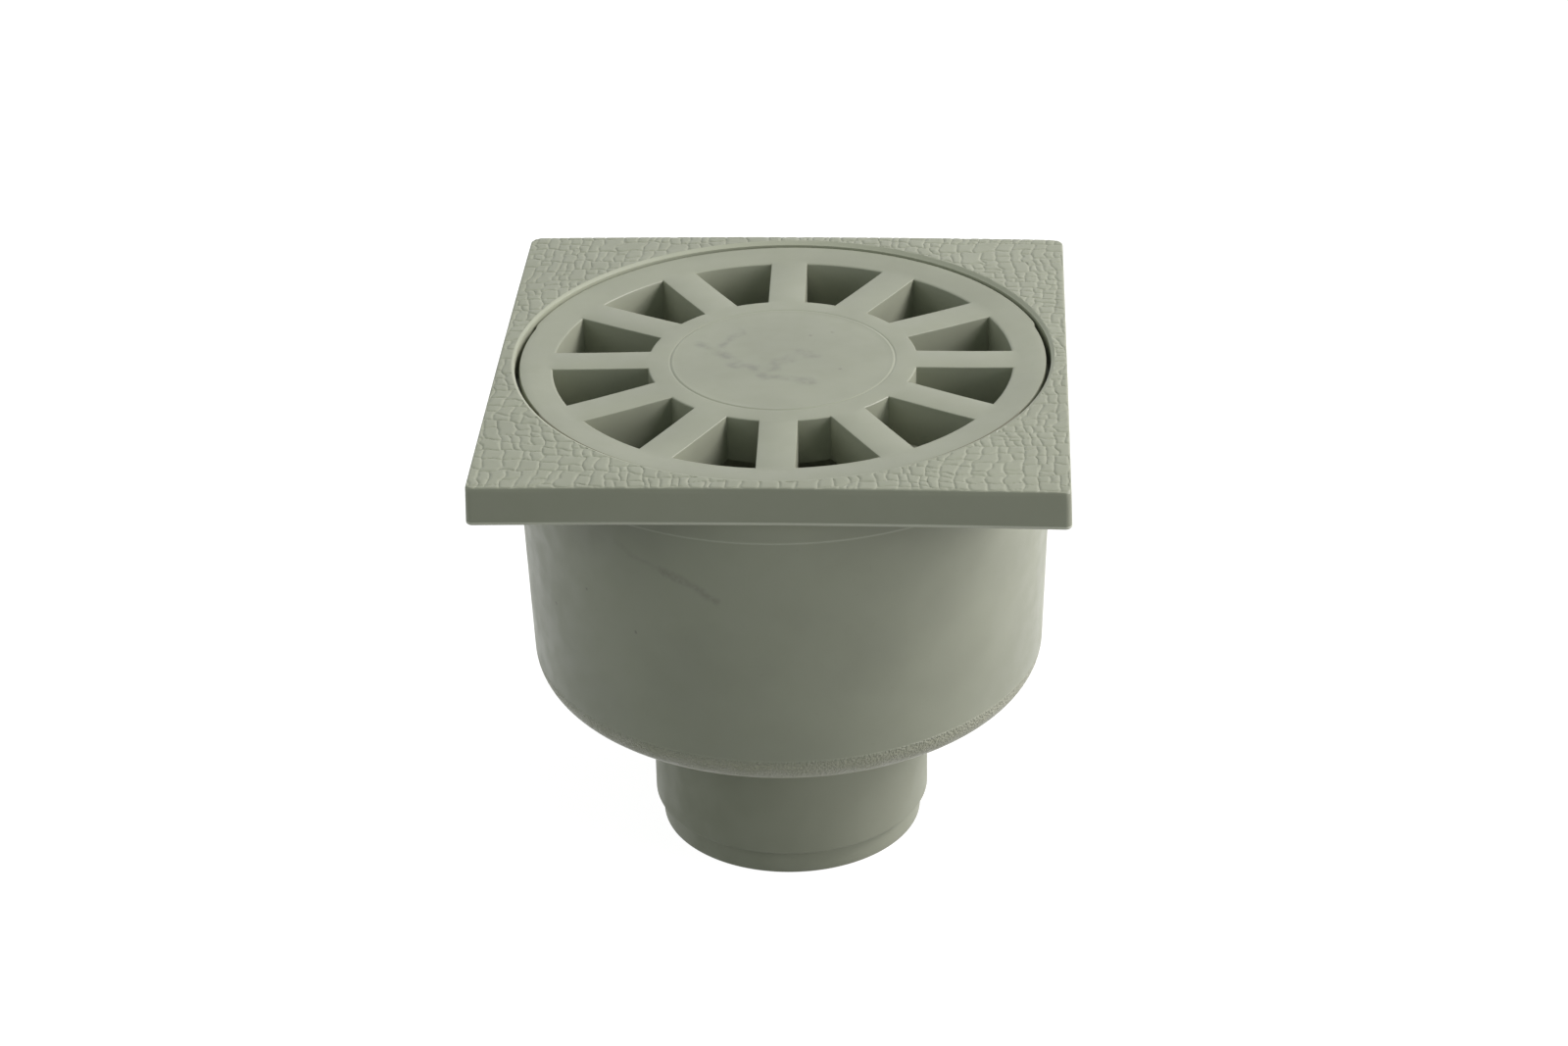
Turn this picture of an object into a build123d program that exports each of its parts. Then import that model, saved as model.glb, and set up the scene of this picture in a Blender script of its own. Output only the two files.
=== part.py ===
"""Yard gully with a square top plate, a round slotted grating and a bell trap.

Three mouldings in grey PVC: the body with its plate, bowl, standpipe and stepped
outlet; the grating that rests in the plate's recess; and the bell that hangs from
the grating's hub and dips round the standpipe to hold the water seal.

Millimetres, +Z up. The origin is on the outlet's end ring, on the common axis of
bowl, outlet and grating. +X and +Y run along the sides of the plate.
"""
from build123d import *
from math import asin, degrees, tan, radians
import os

# Plate
overall_height = 138.7
plate_margin = 4.1
plate_thickness = 3.0
plate_edge_radius = 0.6
plate_corner_radius = 2.5
skirt_height = 10.4
skirt_wall = 2.6
skirt_flare = 0.36

# Recess for the grating
recess_radius = 69.9
recess_lip_width = 1.8
recess_lip_drop = 0.45
seat_width = 2.4
seat_thickness = 2.5
collar_wall = 2.2

# Bowl
bowl_neck_wall = 3.5
bowl_taper = 2.45
bowl_depth = 91.2
bowl_edge_radius = 9.0
bowl_wall = 3.2
bowl_floor = 3.2

# Outlet and standpipe
outlet_diameter = 75.2
outlet_end_diameter = 71.2
outlet_end_length = 7.2
outlet_wall = 2.8
outlet_root_radius = 1.2
outlet_shoulder_radius = 0.5
outlet_tip_chamfer = 0.3
standpipe_mouth_drop = 38.0
standpipe_mouth_radius = 0.8

# Grating
rim_gap = 0.5
rim_land = 1.2
rim_rise = 0.85
rim_depth = 6.85
rim_skin = 2.6
rim_flange_wall = 2.2
rim_edge_radius = 0.8
grating_sink = 1.9
grating_depth = 12.0
grating_skin = 3.0
grating_turn = 1.25
slot_count = 12
slot_wall = 2.4
slot_ring_clearance = 5.1
hub_ring_clearance = 2.55
slot_edge_radius = 0.4
rib_width = 9.8
lift_cut_depth = 0.7
lift_cut_angle = 39.0
lift_cut_lead = 8.5

# Socket ring under the hub, and the bell that plugs into it
socket_radius = 29.3
socket_wall = 2.0
neck_clearance = 0.15
neck_wall = 2.0
snap_bead_radius = 0.6
snap_bead_drop = 5.0
bell_way = 11.0
bell_wall = 2.4
bell_headroom = 14.0
bell_shoulder_radius = 6.0
bell_mouth_chamfer = 0.6
water_seal = 38.0

# Levels
plate_top = overall_height
skirt_bottom = plate_top - skirt_height
grating_top = plate_top - grating_sink
rim_skin_level = grating_top - rim_skin
rim_top = grating_top + rim_rise
seat_level = rim_top - rim_depth
collar_bottom = seat_level - seat_thickness
grating_underside = grating_top - grating_depth
hub_underside = grating_top - grating_skin
bowl_underside = plate_top - bowl_depth
floor_level = bowl_underside + bowl_floor
standpipe_mouth = plate_top - standpipe_mouth_drop
bell_crown_inside = standpipe_mouth + bell_headroom
bell_crown_top = bell_crown_inside + bell_wall
bell_mouth = standpipe_mouth - water_seal

# Sizes that follow from the fits
plate_side = 2 * (recess_radius + plate_margin)
outlet_radius = outlet_diameter / 2
outlet_end_radius = outlet_end_diameter / 2
outlet_bore = outlet_radius - outlet_wall
outlet_end_bore = outlet_end_radius - outlet_wall
seat_radius = recess_radius - seat_width
collar_radius = recess_radius + collar_wall
rim_radius = recess_radius - rim_gap
flange_bore = rim_radius - rim_flange_wall
bowl_neck_radius = seat_radius + bowl_neck_wall
bowl_foot_radius = bowl_neck_radius - bowl_taper
slot_ring_radius = seat_radius - slot_ring_clearance
slot_outer_radius = slot_ring_radius - slot_wall
rim_inner_radius = slot_outer_radius + rim_land
socket_bore = socket_radius - socket_wall / 2
socket_outside = socket_radius + socket_wall / 2
hub_core_radius = socket_outside + hub_ring_clearance
slot_inner_radius = hub_core_radius + slot_wall
bell_bore = outlet_radius + bell_way
bell_radius = bell_bore + bell_wall
neck_radius = socket_bore - neck_clearance
snap_bead_level = hub_underside - snap_bead_drop
slot_pitch = 360 / slot_count


def turned(points):
    """Solid of revolution about Z from a closed outline of (radius, height) points."""
    outline = Polyline(*[(radius, 0, height) for radius, height in points], close=True)
    return revolve(make_face(outline), Axis.Z)


def ring_edges(solid, radius, height):
    """Full or broken circles of a solid at one radius and height, about the Z axis."""
    near = 0.01
    found = []
    for edge in solid.edges().filter_by(GeomType.CIRCLE):
        centre = edge.arc_center
        on_axis = abs(centre.X) < near and abs(centre.Y) < near
        if on_axis and abs(edge.radius - radius) < near and abs(centre.Z - height) < near:
            found.append(edge)
    return found


def make_plate():
    """Square plate with its flared skirt, hollow below the top skin."""
    flared_side = plate_side + 2 * skirt_flare
    top_outline = RectangleRounded(plate_side, plate_side, plate_corner_radius)
    foot_outline = RectangleRounded(flared_side, flared_side, plate_corner_radius + skirt_flare)
    block = loft([Pos(0, 0, skirt_bottom) * foot_outline, Pos(0, 0, plate_top) * top_outline])
    block = fillet(block.edges().group_by(Axis.Z)[-1], plate_edge_radius)
    hollow_side = plate_side - 2 * skirt_wall
    hollow_height = skirt_height - plate_thickness
    hollow = Pos(0, 0, skirt_bottom) * extrude(Rectangle(hollow_side, hollow_side), hollow_height)
    return block - hollow


def make_body():
    """Plate, recess, bowl, standpipe and stepped outlet as one moulding."""
    plate = make_plate()
    shell = turned([
        (0, plate_top),
        (collar_radius, plate_top),
        (collar_radius, collar_bottom),
        (bowl_neck_radius, collar_bottom),
        (bowl_foot_radius, bowl_underside),
        (0, bowl_underside),
    ])
    shell = fillet(ring_edges(shell, bowl_foot_radius, bowl_underside), bowl_edge_radius)
    body = plate + shell

    cavity_foot = bowl_foot_radius - bowl_wall
    cavity = turned([
        (0, seat_level),
        (seat_radius, seat_level),
        (cavity_foot, floor_level),
        (0, floor_level),
    ])
    cavity = fillet(ring_edges(cavity, cavity_foot, floor_level), bowl_edge_radius - bowl_wall)
    recess = turned([
        (0, seat_level),
        (recess_radius, seat_level),
        (recess_radius, plate_top - recess_lip_drop),
        (recess_radius + recess_lip_width, plate_top),
        (0, plate_top),
    ])
    body = body - cavity - recess

    shoulder_level = outlet_end_length
    pipe = turned([
        (0, standpipe_mouth),
        (outlet_radius, standpipe_mouth),
        (outlet_radius, shoulder_level),
        (outlet_end_radius, shoulder_level),
        (outlet_end_radius, 0),
        (0, 0),
    ])
    pipe = fillet(ring_edges(pipe, outlet_radius, standpipe_mouth), standpipe_mouth_radius)
    pipe = fillet(ring_edges(pipe, outlet_radius, shoulder_level), outlet_shoulder_radius)
    pipe = chamfer(ring_edges(pipe, outlet_end_radius, 0), outlet_tip_chamfer)
    body = body + pipe
    body = fillet(ring_edges(body, outlet_radius, bowl_underside), outlet_root_radius)

    bore_step = outlet_bore - outlet_end_bore
    bore = turned([
        (0, standpipe_mouth),
        (outlet_bore, standpipe_mouth),
        (outlet_bore, shoulder_level + outlet_wall + bore_step),
        (outlet_end_bore, shoulder_level + outlet_wall),
        (outlet_end_bore, 0),
        (0, 0),
    ])
    return body - bore


def slot_outline():
    """One tapered slot between two parallel-sided ribs, centred on +X."""
    half_pitch = slot_pitch / 2
    outer_angle = half_pitch - degrees(asin(rib_width / 2 / slot_outer_radius))
    inner_angle = half_pitch - degrees(asin(rib_width / 2 / slot_inner_radius))
    outer_arc = CenterArc((0, 0), slot_outer_radius, -outer_angle, 2 * outer_angle)
    inner_arc = CenterArc((0, 0), slot_inner_radius, inner_angle, -2 * inner_angle)
    sides = [Line(outer_arc @ 1, inner_arc @ 0), Line(inner_arc @ 1, outer_arc @ 0)]
    return make_face([outer_arc, sides[0], inner_arc, sides[1]])


def lift_cut():
    """Shallow cut-back of rim and flange, centred on +X, that leaves a gap to lift by."""
    cut_radius = rim_radius - lift_cut_depth
    outside = recess_radius
    band = Circle(outside) - Circle(cut_radius)
    reach = outside * tan(radians(lift_cut_angle / 2))
    sector = make_face(Polyline((0, 0), (outside, -reach), (outside, reach), close=True))
    cut = extrude(band & sector, rim_depth)
    return Pos(0, 0, seat_level) * cut


def make_grating():
    """Slotted grating with a raised rim, cored from below round slots, ribs and hub."""
    blank = turned([
        (0, grating_top),
        (rim_inner_radius, grating_top),
        (rim_radius, rim_top),
        (rim_radius, seat_level),
        (flange_bore, seat_level),
        (flange_bore, rim_skin_level),
        (slot_ring_radius, rim_skin_level),
        (slot_ring_radius, grating_underside),
        (0, grating_underside),
    ])
    blank = blank - Pos(0, 0, grating_underside) * extrude(
        Circle(hub_core_radius), hub_underside - grating_underside
    )
    blank = fillet(ring_edges(blank, rim_radius, rim_top), rim_edge_radius)
    for angle in (-lift_cut_lead, 180 + lift_cut_lead):
        blank = blank - Rot(0, 0, angle) * lift_cut()

    slot = Pos(0, 0, grating_underside) * extrude(slot_outline(), grating_depth)
    core_length = slot_outer_radius - slot_inner_radius
    core_centre = (slot_outer_radius + slot_inner_radius) / 2
    core_width = rib_width - 2 * slot_wall
    core = Pos(core_centre, 0, grating_underside) * extrude(
        Rectangle(core_length, core_width), grating_depth - grating_skin
    )
    half_pitch = slot_pitch / 2
    for number in range(slot_count):
        blank = blank - Rot(0, 0, number * slot_pitch + half_pitch) * slot
        blank = blank - Rot(0, 0, number * slot_pitch) * core

    slot_edges = [edge for edge in blank.edges() if is_slot_edge(edge)]
    blank = fillet(slot_edges, slot_edge_radius)

    ring = Circle(socket_outside) - Circle(socket_bore)
    socket = Pos(0, 0, grating_underside) * extrude(ring, hub_underside - grating_underside)
    groove = Pos(0, 0, snap_bead_level) * Torus(neck_radius, snap_bead_radius + neck_clearance)
    grating = blank + (socket - groove)
    return Rot(0, 0, grating_turn) * grating


def is_slot_edge(edge):
    """True for the top edges of the slots, false for those of the rim."""
    near = 0.01
    middle = edge @ 0.5
    from_axis = Vector(middle.X, middle.Y, 0).length
    return abs(middle.Z - grating_top) < near and from_axis < slot_outer_radius + near


def make_bell():
    """Inverted cup with the neck that plugs into the socket ring under the hub."""
    neck_bore = neck_radius - neck_wall
    outside = turned([
        (0, hub_underside),
        (neck_radius, hub_underside),
        (neck_radius, bell_crown_top),
        (bell_radius, bell_crown_top),
        (bell_radius, bell_mouth),
        (0, bell_mouth),
    ])
    outside = fillet(ring_edges(outside, bell_radius, bell_crown_top), bell_shoulder_radius)
    inside = turned([
        (0, bell_crown_inside),
        (bell_bore, bell_crown_inside),
        (bell_bore, bell_mouth),
        (0, bell_mouth),
    ])
    inside_shoulder = bell_shoulder_radius - bell_wall
    inside = fillet(ring_edges(inside, bell_bore, bell_crown_inside), inside_shoulder)
    neck_hollow = Pos(0, 0, bell_crown_top) * extrude(
        Circle(neck_bore), hub_underside - bell_crown_top
    )
    bell = outside - inside - neck_hollow
    bell = chamfer(ring_edges(bell, bell_radius, bell_mouth), bell_mouth_chamfer)
    bead = Pos(0, 0, snap_bead_level) * Torus(neck_radius, snap_bead_radius)
    return bell + bead


nodes = {
    "gully_body": make_body(),
    "grating": make_grating(),
    "bell": make_bell(),
}

os.makedirs("parts", exist_ok=True)
for name, shape in nodes.items():
    export_step(shape, f"parts/{name}.step")
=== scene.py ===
"""Looks of the yard gully: its body, grating and bell trap, with camera, light and floor.

Lengths in the tables below are millimetres, +Z up, with the origin in the centre of the
outlet's end ring. Meshes are made in the same frame and scaled to metres.
"""
import math
import bpy
import numpy as np
from mathutils import Matrix, Vector
from mathutils.geometry import delaunay_2d_cdt


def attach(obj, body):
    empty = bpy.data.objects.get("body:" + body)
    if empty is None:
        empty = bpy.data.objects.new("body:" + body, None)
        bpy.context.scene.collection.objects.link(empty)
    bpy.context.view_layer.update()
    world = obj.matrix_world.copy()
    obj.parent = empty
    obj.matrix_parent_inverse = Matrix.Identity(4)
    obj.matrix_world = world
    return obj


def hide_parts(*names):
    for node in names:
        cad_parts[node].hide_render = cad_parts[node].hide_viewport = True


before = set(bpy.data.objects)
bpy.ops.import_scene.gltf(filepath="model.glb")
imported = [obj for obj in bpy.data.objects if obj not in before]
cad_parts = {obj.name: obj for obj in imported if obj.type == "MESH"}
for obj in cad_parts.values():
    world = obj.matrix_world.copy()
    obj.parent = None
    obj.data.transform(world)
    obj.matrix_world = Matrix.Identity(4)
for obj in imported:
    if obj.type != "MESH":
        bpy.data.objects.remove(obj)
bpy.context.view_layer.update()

METRES = 0.001
ROUND = 360
GRATING_ROUND = 180
sharp_angle = 38
weld_distance = 1e-6

# Plate and skirt
plate_top = 138.7
plate_half = 74.0
plate_edge_radius = 0.6
plate_ceiling = 135.7
skirt_bottom = 128.3
skirt_half = 74.36
skirt_inner_half = 71.4
skirt_edge_radius = 0.45
front_corner_radius = 1.8
back_corner_radius = 3.2
smallest_corner_radius = 0.3
corner_sag = 0.62
plate_edge_steps = 5
skirt_edge_steps = 3
wall_shares = (0.05, 0.3, 0.6, 1.0)
side_steps = 380
corner_steps = 14
edge_relief_power = 3
pocket_side_steps = 12
pocket_curve_steps = 40

# Recess with its plain lip, which is widest and falls deepest at one azimuth
recess_radius = 69.9
lip_outer_radius = 71.2
lip_drop = 0.28
lip_narrowing = 0.6
lip_wide_azimuth = 68.0
lip_wide_power = 2.6
lip_extra_drop = 0.55
lip_edge_radius = 0.12
lip_steps = 4
lip_edge_steps = 4
seat_level = 130.8
seat_radius = 67.5
collar_radius = 72.1
neck_radius = 71.0

# Bowl
foot_radius = 68.55
bowl_underside = 47.5
bowl_edge_radius = 9.0
bowl_edge_growth = 0.14
cavity_foot_radius = 65.35
cavity_floor = 50.7
cavity_edge_radius = 5.8
witness_level = 121.2
witness_height = 0.05
witness_spread = 0.16
witness_offsets = (-0.5, -0.28, -0.14, 0.0, 0.14, 0.28, 0.5)
wall_top_step = 3.5

# Standpipe and outlet
outlet_radius = 37.6
outlet_root_radius = 1.2
outlet_end_radius = 35.6
outlet_end_edge = 0.25
outlet_bore = 34.8
outlet_end_bore = 32.8
bore_step_top = 12.0
bore_step_foot = 10.0
outlet_step_level = 7.2
outlet_step_edge = 0.5
outlet_step_fillet = 0.3
standpipe_mouth = 100.7
standpipe_edge = 0.8

# Grating
grating_top = 136.8
grating_underside = 124.8
hub_underside = 133.8
grating_turn = 1.25
slot_count = 12
slot_pitch = 30
grating_dome = 0.6
dome_radius = 52.0
dome_power = 1.5
rim_radius = 69.4
rim_inner_radius = 61.2
rim_rise = 0.85
rim_rise_share = 0.8
rim_rise_reach = 1.05
rim_soft_rise = 0.2
rim_soft_offsets = (-2, 3)
rim_cut_radius = 68.7
rim_cut_half_angle = 22.5
rim_cut_lead = 5.8
rim_cut_edge_share = 0.4
rim_cut_fade = (-1.2, 0.4)
rim_edge_radius = 0.8
rim_edge_steps = 7
rim_skin_level = 134.2
rim_flange_radius = 67.2
slot_outer_radius = 60.0
slot_inner_radius = 35.25
slot_edge_drop = 0.35
slot_edge_steps = 5
slot_side_edge = 0.2
slot_outer_edge = 1.0
slot_inner_edge = 0.5
slot_ring_radius = 62.4
slot_outer_steps = 24
slot_inner_steps = 12
slot_side_steps = 16
rib_half_width = 4.9
core_half_width = 2.5
hub_core_radius = 32.85
socket_bore = 28.3
socket_outside = 30.3

# The fine circle on the hub, a groove with a low ridge inside it
hub_line_radius = 29.4
hub_line_depth = 0.13
hub_line_spread = 0.24
hub_ridge_height = 0.06
hub_ridge_spread = 0.26
hub_ridge_inset = 0.6
hub_line_offsets = (-1.1, -0.8, -0.6, -0.4, -0.25, -0.1, 0.05, 0.2, 0.35, 0.55)

# Extra points on the grating's top, in rings on hub, fine circle and rim, and along the ribs
hub_ring_radii = list(range(3, 28, 3))
outer_ring_radii = [32.0, 61.6, 62.4, 63.4, 64.6, 66.0]
rib_point_radii = np.arange(36, 62, 2.6)
hub_line_reach = 1.2
hub_line_points = 240
hub_ring_points = 90
rim_ring_points = 180

# Raised pads on the plate
pad_seed = 7
pad_overhang = 6
pad_width = 4.5
pad_length_left = 6.2
pad_length_right = 4.9
pad_largest = 1.45
pad_stay_chance = 0.35
pad_cut_shares = (0.36, 0.64)
pad_lowest = -0.035
pad_tilt = 0.006
pad_corner_radius = 0.55
pad_corner_share = 0.45
pad_bend = 1.1
pad_bend_length = 34.0
pad_wobble = 0.26
pad_wobble_length = 5.0
pad_skin = 0.008
pad_skin_length = 1.7
groove_depth = 0.215
groove_half_width = 0.4
lip_margin = 0.3
side_margin = 0.5

# Spacing of the points on the plate's top, near the grooves and away from them
top_fine = 0.27
top_coarse = 0.81
top_clearance = 0.2
groove_clearance = 0.08
least_pad_share = 0.01

# Smudges on the hub and scuffs on the bowl, each a run of points along the mark
hub_level = 137.35
# Middle of the painted shade over the hub, which stands in for the shading of its dome
hub_shade_centre = [(-5.0, -2.0, hub_level)]
hub_smudges = [
    [(-22.8, 7.6, hub_level), (-17.7, 5.3, hub_level), (-11.9, 15.2, hub_level)],
    [(-17.7, 5.3, hub_level), (-12.0, -4.3, hub_level), (-2.0, -5.8, hub_level)],
    [(-2.0, -5.8, hub_level), (3.2, 3.1, hub_level), (8.0, 1.5, hub_level)],
    [(-7.7, -5.7, hub_level), (-3.4, -10.6, hub_level), (8.6, -13.6, hub_level)],
]
hub_specks = [(6.7, 13.7, hub_level), (12.3, 15.8, hub_level), (15.3, -6.1, hub_level)]
bowl_scuff_thin = [(-39.1, -58.8, 114.5), (-36.3, -60.5, 112.9), (-27.6, -64.8, 110.1)]
bowl_scuff_wide = [(-27.6, -64.8, 110.1), (-20.4, -67.3, 107.9), (-13.8, -68.8, 103.8)]
bowl_specks = [(-57.8, -38.9, 85.4), (-48.2, -50.8, 96.4), (-35.0, -60.4, 89.6)]

# Levels of the bowl's changes of colour, each from where it starts to where it is full. The
# upper one, the band's, the pipe's and the skirt's are painted light or shade; the grain's mark
# the grained band.
upper_painted_light = (121.5, 128.4)
grain_top = 56.4
grain_head = (56.0, 56.6)
grain_foot = (49.8, 51.2)
band_light_head = (54.5, 57.0)
pipe_head = (47.0, 48.2)
skirt_painted_shade = (136.6, 137.3)

# Painted shade on the rim's edge, where the gap beside it lies in shade, by radius and by the
# angle off the front in radians
rim_shade_radii = (68.35, 68.8)
rim_shade_start = (0.2, 0.38)
rim_shade_end = (1.05, 1.3)

# Colours, linear
base_grey = (0.325, 0.339, 0.260)
# Painted highlight: the skirt's foot edge, lighter to show light catching it from below
edge_highlight_grey = (0.62, 0.63, 0.53)
# Mould lines, lighter by a painted highlight where their small ridge or step catches light
mould_line_highlight_grey = (0.60, 0.62, 0.52)
# Painted light on the bowl's foot band, where its rounding faces the floor's light
band_floor_light_grey = (0.43, 0.435, 0.32)
grain_grey = (0.19, 0.20, 0.15)
scuff_grey = (0.16, 0.15, 0.12)
bowl_speck_grey = (0.12, 0.12, 0.11)
# Painted shade over the hub's middle
hub_shade_grey = (0.23, 0.24, 0.19)
smudge_grey = (0.17, 0.18, 0.15)
hub_speck_grey = (0.13, 0.13, 0.11)
# Painted shade along the rim's edge
rim_shade_brown = (0.10, 0.09, 0.045)


def in_odd_count(walls, points):
    """True for each point that lies in an odd number of the loops that the walls make."""
    x, y = points[:, 0], points[:, 1]
    found = np.zeros(len(points), dtype=bool)
    for (x1, y1), (x2, y2) in walls:
        if y1 != y2:
            beside = (y1 > y) != (y2 > y)
            found ^= beside & (x < x1 + (y - y1) * (x2 - x1) / (y2 - y1))
    return found


class Shell:
    """Points and faces of one closed mesh, in millimetres."""

    def __init__(self):
        self.points = []
        self.faces = []
        self.zones = []
        self.zone = 0

    def add(self, points):
        """Adds points and gives their indices."""
        start = len(self.points)
        self.points.extend(tuple(map(float, point)) for point in points)
        return list(range(start, len(self.points)))

    def face(self, corners):
        self.faces.append(tuple(corners))
        self.zones.append(self.zone)

    def band(self, first, second):
        """Quads between two closed loops with as many points each."""
        count = len(first)
        for i in range(count):
            j = (i + 1) % count
            self.face((first[i], first[j], second[j], second[i]))

    def path(self, loops):
        for first, second in zip(loops, loops[1:]):
            self.band(first, second)

    def fill(self, loops, extra=(), flip=False):
        """Flat triangulation of what lies in an odd number of closed loops.

        Loops and extra points are indices. The faces go through all of them.
        """
        used = [index for loop in loops for index in loop] + list(extra)
        flat = [Vector(self.points[index][:2]) for index in used]
        edges = []
        start = 0
        for loop in loops:
            count = len(loop)
            edges.extend((start + i, start + (i + 1) % count) for i in range(count))
            start += count
        found = delaunay_2d_cdt(flat, edges, [], 0, weld_distance)
        places = np.array([tuple(place) for place in found[0]])
        faces, origins = found[2], found[3]
        middles = places[np.array(faces)].mean(axis=1)
        walls = [(tuple(flat[first]), tuple(flat[second])) for first, second in edges]
        for corners, kept in zip(faces, in_odd_count(walls, middles)):
            if kept:
                named = [used[origins[c][0]] for c in corners]
                self.face(reversed(named) if flip else named)

    def build(self, name, materials):
        """Makes the mesh object, smooth but for its sharp edges."""
        mesh = bpy.data.meshes.new(name)
        scaled = [tuple(c * METRES for c in point) for point in self.points]
        mesh.from_pydata(scaled, [], self.faces)
        mesh.polygons.foreach_set("material_index", self.zones)
        mesh.polygons.foreach_set("use_smooth", [True] * len(self.faces))
        mesh.set_sharp_from_angle(angle=math.radians(sharp_angle))
        for material in materials:
            mesh.materials.append(material)
        mesh.update()
        piece = bpy.data.objects.new(name, mesh)
        bpy.context.scene.collection.objects.link(piece)
        return piece


# Outlines and fields
def circle(radius, height, count=ROUND):
    angles = [2 * math.pi * i / count for i in range(count)]
    return [(radius * math.cos(a), radius * math.sin(a), height) for a in angles]


def arc(centre, radius, start, end, steps):
    """Points of an arc in a plane, angles in degrees."""
    angles = [math.radians(start + (end - start) * i / steps) for i in range(steps + 1)]
    return [(centre[0] + radius * math.cos(a), centre[1] + radius * math.sin(a)) for a in angles]


def straight(start, end, steps):
    """Points between two others, without the first and with the last."""
    return [
        (start[0] + (end[0] - start[0]) * i / steps, start[1] + (end[1] - start[1]) * i / steps)
        for i in range(1, steps + 1)
    ]


def quarter(i, steps):
    """Angle in radians of one step of a quarter turn."""
    return math.radians(90 * i / steps)


def columns(points):
    """The first two coordinates of points, as arrays."""
    return np.array([p[0] for p in points]), np.array([p[1] for p in points])


def smooth_step(value, low, high):
    t = np.clip((value - low) / (high - low), 0.0, 1.0)
    return t * t * (3 - 2 * t)


def bell_curve(offset, spread):
    return np.exp(-((offset / spread) ** 2))


def wave_noise(x, y, seed, length, count=14):
    """Smooth random field of about unit height, as a sum of plane waves."""
    rng = np.random.default_rng(seed)
    total = np.zeros_like(x)
    for _ in range(count):
        turn = rng.uniform(0, 2 * math.pi)
        size = length * rng.uniform(0.7, 1.6)
        phase = rng.uniform(0, 2 * math.pi)
        across = (x * math.cos(turn) + y * math.sin(turn)) * 2 * math.pi / size
        total = total + np.sin(across + phase)
    return total / math.sqrt(count / 2)


# Plate
def lip_wide_share(x, y):
    """One where the plain lip is widest and falls deepest, zero on the side across."""
    away = np.arctan2(y, x) - math.radians(lip_wide_azimuth)
    return (0.5 + 0.5 * np.cos(away)) ** lip_wide_power


def lip_radius(x, y):
    """Outer radius of the plain lip."""
    return lip_outer_radius - lip_narrowing * (1 - lip_wide_share(x, y))


def sag(x, y):
    """How far the warped plate hangs below its level at the recess."""
    return corner_sag * np.maximum(x * x + y * y - lip_outer_radius**2, 0) / plate_half**2


def split_pads(box, rng, found):
    """Divides a stretch of plate again and again into uneven blocks."""
    x0, y0, x1, y1 = box
    across = (x1 - x0) / pad_width
    along = (y1 - y0) / (pad_length_left if x0 + x1 < 0 else pad_length_right)
    small = max(across, along) < 1.0
    middling = max(across, along) < pad_largest and rng.random() < pad_stay_chance
    if small or middling:
        level = rng.uniform(pad_lowest, 0.0)
        tilt_x = rng.normal(0, pad_tilt)
        tilt_y = rng.normal(0, pad_tilt)
        found.append((x0, y0, x1, y1, level, tilt_x, tilt_y))
        return
    share = rng.uniform(*pad_cut_shares)
    if across > along:
        cut = x0 + share * (x1 - x0)
        parts = ((x0, y0, cut, y1), (cut, y0, x1, y1))
    else:
        cut = y0 + share * (y1 - y0)
        parts = ((x0, y0, x1, cut), (x0, cut, x1, y1))
    for part in parts:
        split_pads(part, rng, found)


def make_pads():
    """All blocks of the pattern, each with its corners, level and tilt."""
    reach = plate_half + pad_overhang
    found = []
    split_pads((-reach, -reach, reach, reach), np.random.default_rng(pad_seed), found)
    return found


pads = make_pads()


def bent(x, y, first_seed, second_seed):
    """How far the pattern is pushed aside by a long bend and a short wobble."""
    long_part = pad_bend * wave_noise(x, y, first_seed, pad_bend_length)
    return long_part + pad_wobble * wave_noise(x, y, second_seed, pad_wobble_length)


def pad_field(x, y):
    """Distance to the nearest groove between pads, and the level of the pad there."""
    wx = x + bent(x, y, 11, 13)
    wy = y + bent(x, y, 12, 14)
    order = np.argsort(wx, kind="stable")
    sorted_x = wx[order]
    distance = np.zeros_like(x)
    level = np.zeros_like(x)
    for x0, y0, x1, y1, height, tilt_x, tilt_y in pads:
        strip = order[np.searchsorted(sorted_x, x0):np.searchsorted(sorted_x, x1)]
        here = strip[(wy[strip] >= y0) & (wy[strip] < y1)]
        dx = wx[here] - (x0 + x1) / 2
        dy = wy[here] - (y0 + y1) / 2
        shortest = min(x1 - x0, y1 - y0)
        corner = min(pad_corner_radius, pad_corner_share * shortest)
        out_x = np.abs(dx) - (x1 - x0) / 2 + corner
        out_y = np.abs(dy) - (y1 - y0) / 2 + corner
        rounded = np.hypot(np.maximum(out_x, 0), np.maximum(out_y, 0))
        distance[here] = corner - rounded - np.minimum(np.maximum(out_x, out_y), 0)
        level[here] = height + tilt_x * dx + tilt_y * dy
    return np.maximum(distance, 0.0), level


def pad_share(x, y):
    """One on the patterned part of the plate, zero on its plain lip and side strips."""
    lip = smooth_step(np.hypot(x, y) - lip_radius(x, y), 0.0, lip_margin)
    side = smooth_step(plate_half - np.abs(x), 0.0, side_margin)
    return lip * side


def pad_relief(x, y):
    """Height of the plate's pattern below the plain lip."""
    distance, level = pad_field(x, y)
    groove = 1 - smooth_step(distance, 0.0, groove_half_width)
    skin = pad_skin * wave_noise(x, y, 21, pad_skin_length)
    return pad_share(x, y) * (np.minimum(level + skin, 0.0) - groove_depth * groove)


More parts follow.
